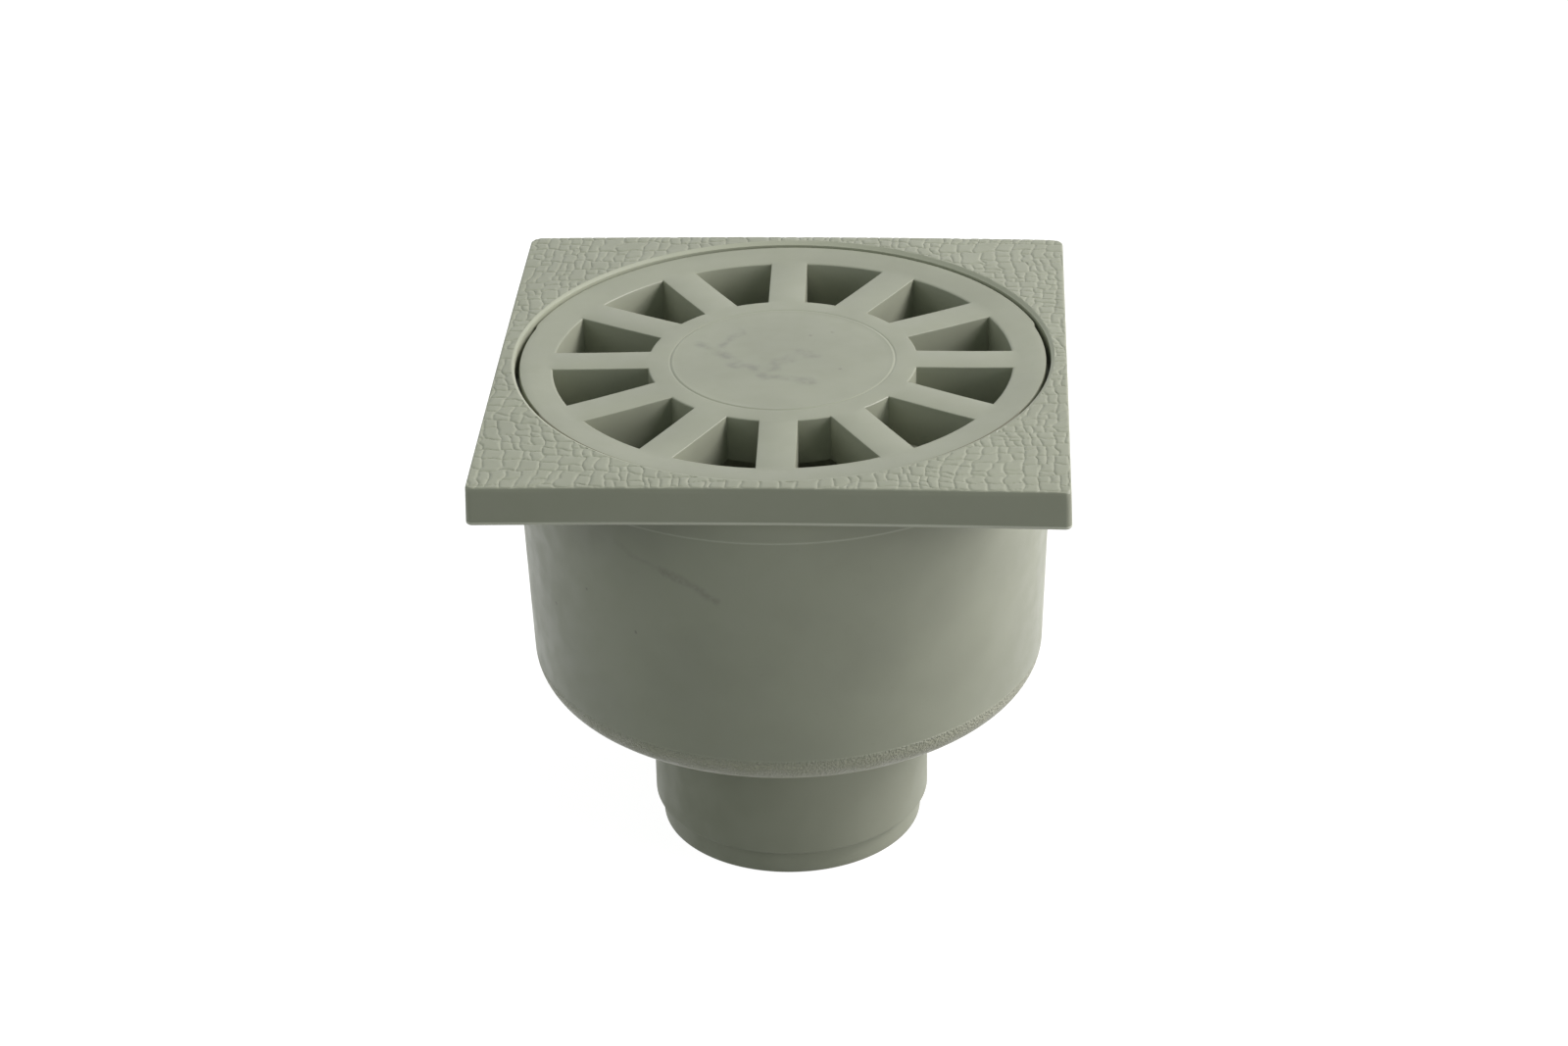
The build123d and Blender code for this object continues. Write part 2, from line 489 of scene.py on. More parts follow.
def square_loop(half, growth):
    """Points round the plate's outline, grown outwards from the plate's own."""
    corners = [
        (1, -1, front_corner_radius, -90),
        (1, 1, back_corner_radius, 0),
        (-1, 1, back_corner_radius, 90),
        (-1, -1, front_corner_radius, 180),
    ]
    rounds = []
    for sx, sy, radius, start in corners:
        rounded = max(radius + growth, smallest_corner_radius)
        centre = (sx * (half - rounded), sy * (half - rounded))
        rounds.append(arc(centre, rounded, start, start + 90, corner_steps))
    points = []
    for corner, following in zip(rounds, rounds[1:] + rounds[:1]):
        points.extend(corner)
        points.extend(straight(corner[-1], following[0], side_steps)[:-1])
    return points


def plate_levels(points, level, relief_share=0):
    """Puts outline points on the warped plate at a nominal level."""
    x, y = columns(points)
    z = level - sag(x, y)
    if relief_share > 0:
        z = z + relief_share * pad_relief(x, y)
    return list(zip(x, y, z))


def plate_clear(x, y):
    """True on the plate's top, clear of its lip, its rounded edge and its corners."""
    inset = plate_half - plate_edge_radius - top_clearance
    clear = np.hypot(x, y) > lip_radius(x, y) + top_clearance
    clear &= (np.abs(x) < inset) & (np.abs(y) < inset)
    corner_reach = np.where(y > 0, back_corner_radius, front_corner_radius)
    corner_x = np.abs(x) - (plate_half - corner_reach)
    corner_y = np.abs(y) - (plate_half - corner_reach)
    in_corner = (corner_x > 0) & (corner_y > 0)
    limit = corner_reach - plate_edge_radius - top_clearance
    return clear & ~(in_corner & (np.hypot(corner_x, corner_y) > limit))


def top_points():
    """Extra points on the plate's top, close together near the grooves."""
    steps = np.arange(-plate_half, plate_half, top_fine)
    x, y = np.meshgrid(steps, steps)
    x = x + 0.5 * top_fine * (np.round(y / top_fine) % 2)
    x = x.ravel()
    y = y.ravel()
    column = np.round((x + plate_half) / top_fine).astype(int)
    row = np.round((y + plate_half) / top_fine).astype(int)
    clear = plate_clear(x, y)
    x, y, column, row = x[clear], y[clear], column[clear], row[clear]
    distance, _ = pad_field(x, y)
    near_groove = distance < groove_half_width + groove_clearance
    dense = near_groove & (pad_share(x, y) > least_pad_share)
    step = round(top_coarse / top_fine)
    sparse = (column % step == 0) & (row % step == 0)
    chosen = dense | sparse
    x, y = x[chosen], y[chosen]
    z = plate_top - sag(x, y) + pad_relief(x, y)
    return list(zip(x, y, z))


def pocket_outline(sign_x, sign_y):
    """Hollow below one corner of the plate, between the skirt and the recess's collar."""
    half = skirt_inner_half
    reach = math.sqrt(collar_radius**2 - half**2)
    side = straight((half, reach), (half, half), pocket_side_steps)
    back = straight((half, half), (reach, half), pocket_side_steps)
    start = math.degrees(math.atan2(half, reach))
    curve = arc((0, 0), collar_radius, start, 90 - start, pocket_curve_steps)[1:]
    outline = [(sign_x * px, sign_y * py) for px, py in side + back + curve]
    if sign_x * sign_y < 0:
        outline.reverse()
    return outline


# Body
def recess_profile():
    """Outline in (radius, height) of the lip, its edge, the recess's wall and the seat."""
    edge_top = plate_top - lip_drop
    slope = math.degrees(math.atan2(lip_drop, lip_outer_radius - recess_radius))
    edge_centre = (recess_radius + lip_edge_radius, edge_top - lip_edge_radius)
    edge = arc(edge_centre, lip_edge_radius, 90 + slope, 180, lip_edge_steps)
    profile = [(lip_outer_radius, plate_top)]
    profile += straight(profile[0], edge[0], lip_steps) + edge[1:]
    profile += straight(edge[-1], (recess_radius, seat_level), 3)
    profile += straight((recess_radius, seat_level), (seat_radius, seat_level), 2)
    return profile


def cavity_profile():
    """Outline of the bowl's inside, the standpipe and its bore, down to the outlet's end."""
    corner = (cavity_foot_radius - cavity_edge_radius, cavity_floor + cavity_edge_radius)
    profile = straight((seat_radius, seat_level), (cavity_foot_radius, corner[1]), 3)
    profile += arc(corner, cavity_edge_radius, 0, -90, 7)[1:]
    profile += straight((corner[0], cavity_floor), (outlet_radius, cavity_floor), 2)
    pipe_head = standpipe_mouth - standpipe_edge
    profile += straight((outlet_radius, cavity_floor), (outlet_radius, pipe_head), 2)
    profile += arc((outlet_radius - standpipe_edge, pipe_head), standpipe_edge, 0, 90, 4)[1:]
    profile += [(outlet_bore, standpipe_mouth), (outlet_bore, bore_step_top)]
    profile += [(outlet_end_bore, bore_step_foot), (outlet_end_bore, 0.0)]
    return profile


def outlet_profile():
    """Outline of the stepped outlet's outside, from its end ring up to the bowl."""
    end_centre = (outlet_end_radius - outlet_end_edge, outlet_end_edge)
    profile = [(end_centre[0], 0.0)]
    profile += arc(end_centre, outlet_end_edge, -90, 0, 3)[1:]
    fillet_level = outlet_step_level - outlet_step_fillet
    end_foot = (outlet_end_radius, outlet_end_edge)
    profile += straight(end_foot, (outlet_end_radius, fillet_level), 3)
    fillet_centre = (outlet_end_radius + outlet_step_fillet, fillet_level)
    profile += arc(fillet_centre, outlet_step_fillet, 180, 90, 3)[1:]
    step_foot = outlet_step_level + outlet_step_edge
    profile += arc((outlet_radius - outlet_step_edge, step_foot), outlet_step_edge, -90, 0, 5)
    pipe_top = bowl_underside - outlet_root_radius
    profile += straight((outlet_radius, step_foot), (outlet_radius, pipe_top), 3)
    root_centre = (outlet_radius + outlet_root_radius, pipe_top)
    profile += arc(root_centre, outlet_root_radius, 180, 90, 5)[1:]
    return profile


def wall_profile():
    """Outline of the bowl's outside, from the outlet's root up to the neck."""
    edge_centre = (
        foot_radius - bowl_edge_radius + bowl_edge_growth,
        bowl_underside + bowl_edge_radius,
    )
    root = (outlet_radius + outlet_root_radius, bowl_underside)
    profile = straight(root, (edge_centre[0], bowl_underside), 2)
    rise = skirt_bottom - bowl_underside
    draft = math.degrees(math.atan2(neck_radius - foot_radius, rise))
    profile += arc(edge_centre, bowl_edge_radius, -90, -draft, 16)[1:]
    foot = profile[-1]
    slope = (neck_radius - foot[0]) / (skirt_bottom - foot[1])
    plain = witness_level + witness_offsets[0] - foot[1]
    heights = [foot[1] + plain * i / 6 for i in range(1, 6)]
    heights += [witness_level + offset for offset in witness_offsets]
    heights += [witness_level + wall_top_step, skirt_bottom]
    for height in heights:
        bump = witness_height * bell_curve(height - witness_level, witness_spread)
        profile.append((foot[0] + slope * (height - foot[1]) + bump, height))
    return profile


def add_round_part(shell):
    """Rings of the round part, with the lip's reach and fall changed round the recess."""
    profile = recess_profile() + cavity_profile() + outlet_profile() + wall_profile()
    edge_radius = profile[lip_steps][0]
    lip_end = lip_steps + lip_edge_steps
    rings = []
    for number, (radius, height) in enumerate(profile):
        share = max(0.0, (radius - edge_radius) / (lip_outer_radius - edge_radius))
        points = []
        for x, y, _ in circle(radius, height):
            reach, fall = 1, 0
            if number <= lip_end:
                reach = 1 + share * (lip_radius(x, y) - lip_outer_radius) / radius
                fall = lip_extra_drop * (1 - share) * lip_wide_share(x, y)
            points.append((x * reach, y * reach, height - fall))
        rings.append(shell.add(points))
    shell.path(rings)
    return rings[0], rings[-1]


def skirt_outlines():
    """Half widths, nominal levels and relief shares from the skirt's foot to the plate's top."""
    skirt_edge = skirt_half - skirt_edge_radius
    found = []
    for i in range(skirt_edge_steps + 1):
        a = quarter(i, skirt_edge_steps)
        level = skirt_bottom + skirt_edge_radius * (1 - math.cos(a))
        found.append((skirt_edge + skirt_edge_radius * math.sin(a), skirt_half, level, 0))
    wall_top = plate_top - plate_edge_radius
    wall_foot = skirt_bottom + skirt_edge_radius
    for share in wall_shares:
        half = skirt_half + (plate_half - skirt_half) * share
        found.append((half, skirt_half, wall_foot + (wall_top - wall_foot) * share, 0))
    for i in range(1, plate_edge_steps + 1):
        a = quarter(i, plate_edge_steps)
        half = plate_half - plate_edge_radius * (1 - math.cos(a))
        level = wall_top + plate_edge_radius * math.sin(a)
        found.append((half, plate_half, level, math.sin(a) ** edge_relief_power))
    return found


def make_body(materials):
    """The whole body moulding as one closed mesh."""
    shell = Shell()
    zone_plate, zone_bowl, zone_edge_highlight = 0, 1, 2
    shell.zone = zone_bowl
    lip, neck = add_round_part(shell)

    loops = []
    for half, own_half, level, relief_share in skirt_outlines():
        outline = square_loop(half, half - own_half)
        loops.append(shell.add(plate_levels(outline, level, relief_share)))
    first_wall = skirt_edge_steps + 1
    shell.zone = zone_plate
    shell.path(loops[first_wall:])
    # The skirt's foot edge, painted lighter as a highlight
    shell.zone = zone_edge_highlight
    shell.path(loops[:first_wall + 1])
    shell.zone = zone_plate
    foot_loop, top_loop = loops[0], loops[-1]
    shell.fill([top_loop, lip], shell.add(top_points()))

    pockets = []
    for sign_x, sign_y in ((1, 1), (-1, 1), (-1, -1), (1, -1)):
        outline = pocket_outline(sign_x, sign_y)
        lower = shell.add(plate_levels(outline, skirt_bottom))
        upper = shell.add(plate_levels(outline, plate_ceiling))
        shell.band(upper, lower)
        shell.fill([upper], flip=True)
        pockets.append(lower)
    shell.fill([foot_loop, neck] + pockets, flip=True)
    return shell.build("gully_body_look", materials)


# Grating
def slot_outline(centre, share):
    """One slot between two ribs, grown by a share of its edges' rounding."""
    outer = slot_outer_radius + slot_outer_edge * share
    inner = slot_inner_radius - slot_inner_edge * share
    half_width = rib_half_width - slot_side_edge * share
    outer_angle = slot_pitch / 2 - math.degrees(math.asin(half_width / outer))
    inner_angle = slot_pitch / 2 - math.degrees(math.asin(half_width / inner))
    outer_arc = arc((0, 0), outer, centre - outer_angle, centre + outer_angle, slot_outer_steps)
    inner_arc = arc((0, 0), inner, centre + inner_angle, centre - inner_angle, slot_inner_steps)
    first_side = straight(outer_arc[-1], inner_arc[0], slot_side_steps)[:-1]
    second_side = straight(inner_arc[-1], outer_arc[0], slot_side_steps)[:-1]
    return outer_arc + first_side + inner_arc + second_side


def core_outline(centre):
    """Hollow below one rib, cored from the underside."""
    turn = math.radians(centre)
    corners = [
        (slot_outer_radius, -core_half_width),
        (slot_outer_radius, core_half_width),
        (slot_inner_radius, core_half_width),
        (slot_inner_radius, -core_half_width),
    ]
    return [
        (x * math.cos(turn) - y * math.sin(turn), x * math.sin(turn) + y * math.cos(turn))
        for x, y in corners
    ]


def lift_cut_share(angle):
    """One in the rim's two lift cuts, zero between them, at an angle in degrees."""
    deep = 0.0
    low, high = (rim_cut_half_angle + offset for offset in rim_cut_fade)
    for centre in (-rim_cut_lead, 180 + rim_cut_lead):
        off = abs((angle - grating_turn - centre + 180) % 360 - 180)
        deep = max(deep, 1 - smooth_step(off, low, high))
    return deep


def rim_outline(inset):
    """Outline of the grating's rim, drawn in by an inset that is less in the lift cuts."""
    points = []
    for i in range(ROUND):
        angle = 360 * i / ROUND
        turn = math.radians(angle)
        deep = lift_cut_share(angle)
        radius = rim_radius - (rim_radius - rim_cut_radius) * deep
        radius -= inset * (1 - (1 - rim_cut_edge_share) * deep)
        points.append((radius * math.cos(turn), radius * math.sin(turn)))
    return points


def hub_relief(x, y):
    """Dome of the hub, its fine circle, and the rise of the rim towards its edge."""
    radius = np.hypot(x, y)
    dome = grating_dome * np.clip(1 - (radius / dome_radius) ** 2, 0, None) ** dome_power
    line = hub_line_depth * bell_curve(radius - hub_line_radius, hub_line_spread)
    ridge_radius = hub_line_radius - hub_ridge_inset
    ridge = hub_ridge_height * bell_curve(radius - ridge_radius, hub_ridge_spread)
    across = (radius - rim_inner_radius) / (rim_radius - rim_inner_radius)
    rise = rim_rise_share * np.clip(across, 0, rim_rise_reach)
    soft_ends = [rim_inner_radius + offset for offset in rim_soft_offsets]
    soft = rim_soft_rise * smooth_step(radius, *soft_ends)
    return dome - line + ridge + rim_rise * (rise + soft)


def domed(points, level):
    x, y = columns(points)
    return list(zip(x, y, level + hub_relief(x, y)))


def grating_top_points():
    """Extra points on the grating's top, in rings on hub and rim and along the ribs."""
    points = [(0.0, 0.0)]
    line_radii = [hub_line_radius + offset for offset in hub_line_offsets]
    for radius in hub_ring_radii + line_radii + outer_ring_radii:
        if radius > slot_outer_radius:
            count = rim_ring_points
        elif abs(radius - hub_line_radius) < hub_line_reach:
            count = hub_line_points
        else:
            count = hub_ring_points
        points += [(x, y) for x, y, _ in circle(radius, 0, count)]
    for number in range(slot_count):
        turn = math.radians(grating_turn + slot_pitch * number)
        for radius in rib_point_radii:
            points.append((radius * math.cos(turn), radius * math.sin(turn)))
    return domed(points, grating_top)


def make_grating(materials):
    """The slotted grating, cored from below, as one closed mesh."""
    shell = Shell()
    hub_profile = [
        (socket_bore, hub_underside),
        (socket_bore, grating_underside),
        (socket_outside, grating_underside),
        (socket_outside, hub_underside),
        (hub_core_radius, hub_underside),
        (hub_core_radius, grating_underside),
    ]
    rim_profile = [
        (slot_ring_radius, grating_underside),
        (slot_ring_radius, rim_skin_level),
        (rim_flange_radius, rim_skin_level),
        (rim_flange_radius, seat_level),
    ]
    hub_rings = [shell.add(circle(r, z, GRATING_ROUND)) for r, z in hub_profile]
    shell.path(hub_rings)
    shell.fill([hub_rings[0]], flip=True)
    rim_rings = [shell.add(circle(r, z, GRATING_ROUND)) for r, z in rim_profile]
    shell.path(rim_rings)

    rim_loops = [shell.add([(x, y, seat_level) for x, y in rim_outline(0)])]
    for i in range(rim_edge_steps + 1):
        a = quarter(i, rim_edge_steps)
        inset = rim_edge_radius * (1 - math.cos(a))
        drop = rim_edge_radius * (1 - math.sin(a))
        rim_loops.append(shell.add(domed(rim_outline(inset), grating_top - drop)))
    shell.path(rim_loops)
    shell.fill([rim_loops[0], rim_rings[-1]], flip=True)

    slots_top = []
    slots_foot = []
    for number in range(slot_count):
        centre = grating_turn + slot_pitch * (number + 0.5)
        loops = []
        for i in range(slot_edge_steps + 1):
            a = quarter(i, slot_edge_steps)
            level = grating_top - slot_edge_drop * (1 - math.cos(a))
            loops.append(shell.add(domed(slot_outline(centre, 1 - math.sin(a)), level)))
        loops.append(shell.add([(x, y, grating_underside) for x, y in slot_outline(centre, 0)]))
        shell.path(loops)
        slots_top.append(loops[0])
        slots_foot.append(loops[-1])

    cores = []
    for number in range(slot_count):
        outline = core_outline(grating_turn + slot_pitch * number)
        lower = shell.add([(x, y, grating_underside) for x, y in outline])
        upper = shell.add([(x, y, hub_underside) for x, y in outline])
        shell.band(upper, lower)
        shell.face(reversed(upper))
        cores.append(lower)
    shell.fill([rim_rings[0], hub_rings[-1]] + slots_foot + cores, flip=True)
    shell.fill([rim_loops[-1]] + slots_top, shell.add(grating_top_points()))
    return shell.build("grating_look", materials)


# Materials
class Nodes:
    """Short way to write a material's node tree. Lengths are given in millimetres."""

    def __init__(self, name):
        self.material = bpy.data.materials.new(name)
        self.material.use_nodes = True
        self.tree = self.material.node_tree
        self.shader = self.tree.nodes["Principled BSDF"]
        self.place = self.node("ShaderNodeTexCoord").outputs["Object"]

    def node(self, kind, **settings):
        made = self.tree.nodes.new(kind)
        for key, value in settings.items():
            setattr(made, key, value)
        return made

    def link(self, source, target):
        if isinstance(source, (int, float)):
            target.default_value = source
        else:
            self.tree.links.new(source, target)

    def math(self, operation, first, second=0.0, clamp=False):
        made = self.node("ShaderNodeMath", operation=operation, use_clamp=clamp)
        self.link(first, made.inputs[0])
        self.link(second, made.inputs[1])
        return made.outputs[0]

    def times(self, first, second):
        return self.math("MULTIPLY", first, second)

    def noise_node(self, scale, detail):
        made = self.node("ShaderNodeTexNoise")
        self.tree.links.new(self.place, made.inputs["Vector"])
        made.inputs["Scale"].default_value = scale
        made.inputs["Detail"].default_value = detail
        return made

    def noise(self, scale, detail):
        return self.noise_node(scale, detail).outputs["Fac"]

    def span(self, value, low, high, to_low=0.0, to_high=1.0):
        """Smooth change of a number from one value to another over a span."""
        made = self.node("ShaderNodeMapRange", interpolation_type="SMOOTHSTEP")
        self.link(value, made.inputs["Value"])
        made.inputs["From Min"].default_value = low
        made.inputs["From Max"].default_value = high
        made.inputs["To Min"].default_value = to_low
        made.inputs["To Max"].default_value = to_high
        return made.outputs["Result"]

    def above(self, length, ends):
        """Zero below the first of two lengths, one above the second."""
        return self.span(length, ends[0] * METRES, ends[1] * METRES)

    def below(self, length, ends):
        """One below the first of two lengths, zero above the second."""
        return self.span(length, ends[0] * METRES, ends[1] * METRES, 1.0, 0.0)

    def mix(self, factor, first, second):
        """Colour mix, colours given as linear triples or sockets."""
        made = self.node("ShaderNodeMix", data_type="RGBA")
        self.link(factor, made.inputs["Factor"])
        for value, socket in ((first, made.inputs[6]), (second, made.inputs[7])):
            if isinstance(value, tuple):
                socket.default_value = (*value, 1.0)
            else:
                self.tree.links.new(value, socket)
        return made.outputs[2]

    def vector(self, operation, first, second=None, factor=None):
        """Vector maths on sockets or triples, giving the node's vector and its number."""
        made = self.node("ShaderNodeVectorMath", operation=operation)
        for value, socket in ((first, made.inputs[0]), (second, made.inputs[1])):
            if isinstance(value, tuple):
                socket.default_value = value
            elif value is not None:
                self.tree.links.new(value, socket)
        if factor is not None:
            self.link(factor, made.inputs["Scale"])
        return made.outputs[0], made.outputs[1]

    def ragged(self, scale, reach):
        """The place pushed about by noise, for marks with uneven edges."""
        pushes = self.noise_node(scale, 3.0).outputs["Color"]
        centred, _ = self.vector("SUBTRACT", pushes, (0.5, 0.5, 0.5))
        push, _ = self.vector("SCALE", centred, factor=reach * METRES)
        return self.vector("ADD", self.place, push)[0]

    def near_run(self, place, points, half_width):
        """One on a run of points, fading out at half a width."""
        found = 0.0
        for first, second in zip(points, points[1:]):
            start = Vector(first) * METRES
            axis = Vector(second) * METRES - start
            offset, _ = self.vector("SUBTRACT", place, tuple(start))
            _, share = self.vector("DOT_PRODUCT", offset, tuple(axis / axis.length_squared))
            share = self.math("ADD", share, clamp=True)
            nearest, _ = self.vector("SCALE", tuple(axis), factor=share)
            _, gap = self.vector("DISTANCE", offset, nearest)
            found = self.math("MAXIMUM", self.below(gap, (0.0, half_width)), found)
        return found

    def near_points(self, place, points, radius):
        """One at each of some points, fading out at a radius."""
        found = 0.0
        for point in points:
            _, gap = self.vector("DISTANCE", place, tuple(Vector(point) * METRES))
            found = self.math("MAXIMUM", self.below(gap, (0.0, radius)), found)
        return found

    def level_line(self, level, half_width):
        """One on a level line round the part, fading out at half a width."""
        away = self.math("SUBTRACT", self.axes()["Z"], level * METRES)
        return self.below(self.math("ABSOLUTE", away), (0.0, half_width))

    def axes(self):
        """The place's three coordinates in metres."""
        made = self.node("ShaderNodeSeparateXYZ")
        self.tree.links.new(self.place, made.inputs[0])
        return made.outputs

    def tint(self, factor, colour, strength=1.0):
        """Mixes a colour over the shader's own."""
        if strength != 1.0:
            factor = self.times(factor, strength)
        socket = self.shader.inputs["Base Color"]
        self.link(self.mix(factor, socket.links[0].from_socket, colour), socket)

    def bump(self, height, depth):
        """Raises the shader's surface by up to a depth, over the bump that it has."""
        made = self.node("ShaderNodeBump")
        self.link(height, made.inputs["Height"])
        made.inputs["Strength"].default_value = 1.0
        made.inputs["Distance"].default_value = depth * METRES
        socket = self.shader.inputs["Normal"]
        if socket.is_linked:
            self.tree.links.new(socket.links[0].from_socket, made.inputs["Normal"])
        self.link(made.outputs["Normal"], socket)


def scaled(colour, share):
    return tuple(share * c for c in colour)


def plastic(name, base, roughness, skin_depth):
    """Grey moulded plastic with a faint mottle, a satin skin and small scuffs."""
    n = Nodes(name)
    mottle = n.span(n.noise(38.0, 3.0), 0.35, 0.65)
    speck = n.span(n.noise(900.0, 2.0), 0.66, 0.8, 0.0, 0.25)
    colour = n.mix(mottle, scaled(base, 0.955), scaled(base, 1.04))
    colour = n.mix(speck, colour, scaled(base, 0.8))
    n.link(colour, n.shader.inputs["Base Color"])
    worn = n.span(n.noise(160.0, 4.0), 0.3, 0.7, -0.05, 0.06)
    n.link(n.math("ADD", worn, roughness), n.shader.inputs["Roughness"])
    n.shader.inputs["IOR"].default_value = 1.5
    n.bump(n.noise(2600.0, 3.0), skin_depth)
    return n


def add_skirt_painted_shade(n):
    """Painted shade on the skirt's wall, a little darker than the plate's top."""
    n.tint(n.below(n.axes()["Z"], skirt_painted_shade), scaled(base_grey, 0.945))


def add_bowl_marks(n):
    """Mould lines with painted highlights, painted light below the skirt and on the foot band,
    the grained band, the dark scuff, the specks of the bowl, and painted shade on the pipe.
    """
    height = n.axes()["Z"]
    # Painted light on the bowl's top just below the skirt, lifting the shade that the skirt
    # casts there
    n.tint(n.above(height, upper_painted_light), scaled(base_grey, 1.22), 0.8)
    # Painted highlights along the mould line and along the grained band's top
    n.tint(n.level_line(witness_level, 0.42), mould_line_highlight_grey, 0.5)
    n.tint(n.level_line(grain_top, 0.45), mould_line_highlight_grey, 0.1)
    worn = n.ragged(260.0, 2.2)
    thin = n.times(n.near_run(worn, bowl_scuff_thin, 1.3), 0.16)
    wide = n.times(n.near_run(worn, bowl_scuff_wide, 1.9), 0.42)
    streaks = n.span(n.noise(900.0, 3.0), 0.3, 0.6, 0.45, 1.0)
    n.tint(n.times(n.math("MAXIMUM", thin, wide), streaks), scuff_grey)
    n.tint(n.near_points(n.ragged(500.0, 1.0), bowl_specks, 0.7), bowl_speck_grey, 0.6)
    # Painted light: the foot band lighter, as if lit from the floor below
    n.tint(n.below(height, band_light_head), band_floor_light_grey, 0.8)
    band = n.times(n.below(height, grain_head), n.above(height, grain_foot))
    grain = n.times(n.span(n.noise(1500.0, 2.0), 0.35, 0.65), band)
    n.tint(grain, grain_grey, 0.2)
    # Below the bowl the pipe is a little darker, painted shade under the bowl, and a little
    # rougher
    pipe = n.below(height, pipe_head)
    n.tint(pipe, scaled(base_grey, 0.93))
    rough = n.shader.inputs["Roughness"]
    n.link(n.math("ADD", rough.links[0].from_socket, n.times(pipe, 0.14)), rough)
    n.bump(grain, 0.22)


def add_grating_marks(n):
    """Grey smudges and specks on the hub, painted shade over its middle, and painted shade along
    the rim's edge.
    """
    x, y, _ = n.axes()
    # Painted shade over the hub's middle
    n.tint(n.near_points(n.ragged(60.0, 12.0), hub_shade_centre, 30.0), hub_shade_grey, 0.2)
    worn = n.ragged(170.0, 6.5)
    smudge = 0.0
    for run in hub_smudges:
        smudge = n.math("MAXIMUM", n.near_run(worn, run, 2.8), smudge)
    patches = n.span(n.noise(300.0, 3.0), 0.36, 0.64, 0.25, 1.0)
    n.tint(n.times(smudge, patches), smudge_grey, 0.5)
    n.tint(n.near_points(n.ragged(500.0, 1.0), hub_specks, 0.8), hub_speck_grey, 0.45)
    radius = n.math("SQRT", n.math("ADD", n.times(x, x), n.times(y, y)))
    off_front = n.math("ABSOLUTE", n.math("ADD", n.math("ARCTAN2", y, x), math.pi / 2))
    front_sides = n.times(n.span(off_front, *rim_shade_start), n.span(off_front, *rim_shade_end, 1.0, 0.0))
    # Painted shade along the rim's edge at the front, where the gap beside it lies in shade
    n.tint(n.times(n.above(radius, rim_shade_radii), front_sides), rim_shade_brown, 0.8)


plate_nodes = plastic("body_plate", base_grey, 0.42, 0.01)
add_skirt_painted_shade(plate_nodes)
# Painted highlight on the skirt's foot edge
edge_highlight_nodes = plastic("body_edge_highlight", edge_highlight_grey, 0.42, 0.01)
bowl_nodes = plastic("body_bowl", base_grey, 0.4, 0.01)
add_bowl_marks(bowl_nodes)
grating_nodes = plastic("grating_grey", base_grey, 0.4, 0.008)
add_grating_marks(grating_nodes)
bell_nodes = plastic("bell_grey", base_grey, 0.45, 0.01)

# Pieces
body_piece = make_body([plate_nodes.material, bowl_nodes.material, edge_highlight_nodes.material])
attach(body_piece, "root")
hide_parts("gully_body")

grating_piece = make_grating([grating_nodes.material])
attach(grating_piece, "root")
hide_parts("grating")

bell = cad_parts["bell"]
bell.data.materials.clear()
bell.data.materials.append(bell_nodes.material)

# Camera, light and floor, in metres and watts, with the lens and sensor in millimetres
camera_place = (0.053132, -0.851419, 0.556596)
camera_right = (0.998445, 0.052068, -0.019902)
camera_up = (-0.007646, 0.481585, 0.876366)
camera_back = (0.055215, -0.874852, 0.481234)
camera_lens = 83.547
camera_sensor = 36.0
surroundings_tone = (0.87, 1.0, 0.91, 1)
surroundings_strength = 0.25
floor_tone = (0.22, 0.22, 0.21, 1)
floor_glow = 0.955
floor_reach = 4.0
floor_level = -0.0002
white = (1, 1, 1, 1)
lamp_target = (0.0, 0.0, 0.09)
lamps = [
    ("key", (1.41, 0.35, 1.31), (0.95, 0.95), 35.5, (1.0, 0.965, 0.985)),
    ("right", (1.49, -0.52, 0.42), (0.8, 0.8), 8.5, (1.0, 0.97, 1.0)),
    ("left", (-1.3, -0.5, 0.72), (0.6, 0.8), 2.6, (1.0, 0.99, 0.98)),
]


def make_camera():
    """Camera at the photograph's viewing angle."""
    data = bpy.data.cameras.new("camera")
    data.sensor_width = camera_sensor
    data.sensor_fit = "HORIZONTAL"
    data.lens = camera_lens
    data.clip_start = 0.05
    data.clip_end = 60.0
    camera = bpy.data.objects.new("camera", data)
    turn = Matrix((camera_right, camera_up, camera_back)).transposed()
    camera.matrix_world = Matrix.Translation(camera_place) @ turn.to_4x4()
    bpy.context.scene.collection.objects.link(camera)
    bpy.context.scene.camera = camera


def area_light(name, location, size, strength, colour):
    """Soft box that faces the part."""
    data = bpy.data.lights.new(name, "AREA")
    data.shape = "RECTANGLE"
    data.size, data.size_y = size
    data.energy = strength
    data.color = colour
    lamp = bpy.data.objects.new(name, data)
    lamp.location = location
    aim = Vector(lamp_target) - Vector(location)
    lamp.rotation_euler = aim.to_track_quat("-Z", "Y").to_euler()
    bpy.context.scene.collection.objects.link(lamp)


def any_ray(tree, kinds):
    """One for a ray of one of the kinds, zero for others."""
    path = tree.nodes.new("ShaderNodeLightPath")
    found = path.outputs[kinds[0]]
    for kind in kinds[1:]:
        either = tree.nodes.new("ShaderNodeMath")
        either.operation = "MAXIMUM"
        tree.links.new(found, either.inputs[0])
        tree.links.new(path.outputs[kind], either.inputs[1])
        found = either.outputs[0]
    return found


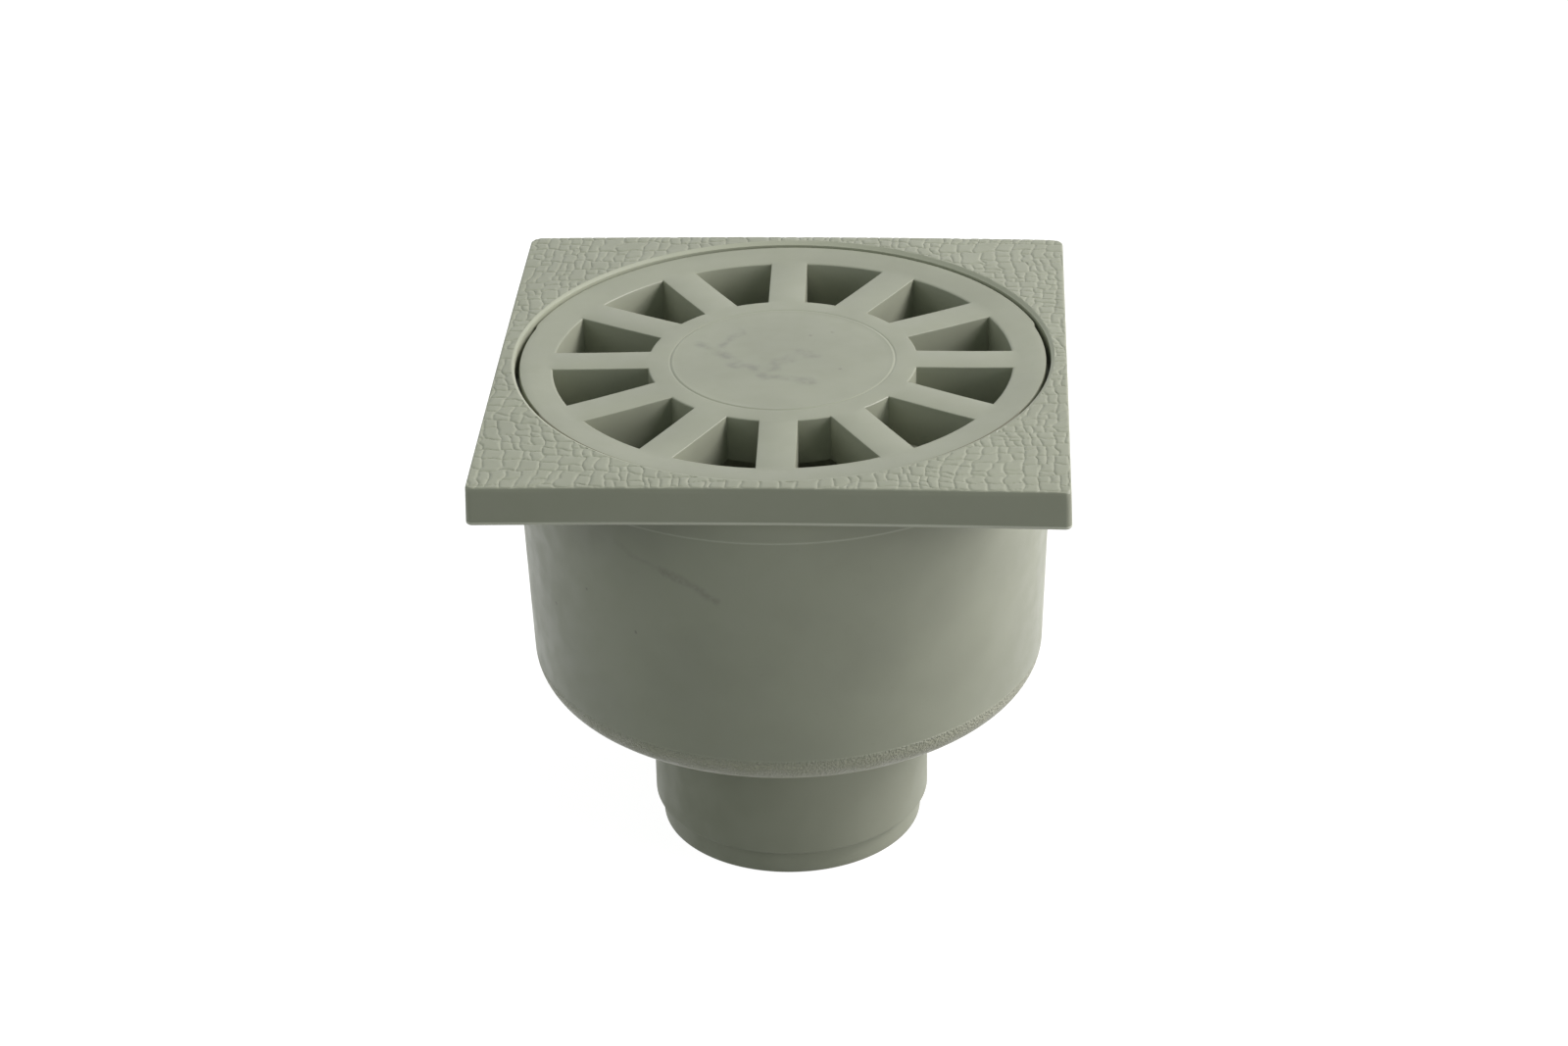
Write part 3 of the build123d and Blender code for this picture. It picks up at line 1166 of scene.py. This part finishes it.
def show_by_ray(tree, output_kind, kinds, other, seen):
    """Gives rays of the kinds one shader and all others another."""
    output = tree.nodes.new(output_kind)
    mix = tree.nodes.new("ShaderNodeMixShader")
    tree.links.new(any_ray(tree, kinds), mix.inputs[0])
    tree.links.new(other.outputs[0], mix.inputs[1])
    tree.links.new(seen.outputs[0], mix.inputs[2])
    tree.links.new(mix.outputs[0], output.inputs["Surface"])


def coloured(tree, kind, colour, strength=None):
    """One shader node with its colour and strength."""
    made = tree.nodes.new(kind)
    made.inputs["Color"].default_value = colour
    if strength is not None:
        made.inputs["Strength"].default_value = strength
    return made


def make_world():
    """Pale surroundings that show white to the camera and in reflections."""
    world = bpy.data.worlds.new("world")
    world.use_nodes = True
    tree = world.node_tree
    tree.nodes.clear()
    seen = coloured(tree, "ShaderNodeBackground", white, 1.0)
    light = coloured(tree, "ShaderNodeBackground", surroundings_tone, surroundings_strength)
    kinds = ("Is Camera Ray", "Is Glossy Ray", "Is Transmission Ray")
    show_by_ray(tree, "ShaderNodeOutputWorld", kinds, light, seen)
    bpy.context.scene.world = world


def make_floor():
    """White floor under the outlet, which keeps a soft shadow."""
    mesh = bpy.data.meshes.new("floor")
    r = floor_reach
    mesh.from_pydata([(-r, -r, 0), (r, -r, 0), (r, r, 0), (-r, r, 0)], [], [(0, 1, 2, 3)])
    floor = bpy.data.objects.new("floor", mesh)
    floor.location.z = floor_level
    bpy.context.scene.collection.objects.link(floor)
    material = bpy.data.materials.new("floor_white")
    material.use_nodes = True
    tree = material.node_tree
    tree.nodes.clear()
    plain = coloured(tree, "ShaderNodeBsdfDiffuse", floor_tone)
    glow = coloured(tree, "ShaderNodeEmission", white, floor_glow)
    seen = tree.nodes.new("ShaderNodeAddShader")
    tree.links.new(plain.outputs[0], seen.inputs[0])
    tree.links.new(glow.outputs[0], seen.inputs[1])
    kinds = ("Is Camera Ray", "Is Glossy Ray")
    show_by_ray(tree, "ShaderNodeOutputMaterial", kinds, plain, seen)
    mesh.materials.append(material)


make_camera()
make_world()
make_floor()
for name, location, size, strength, colour in lamps:
    area_light(name, location, size, strength, colour)
bpy.context.scene.view_settings.view_transform = "Standard"
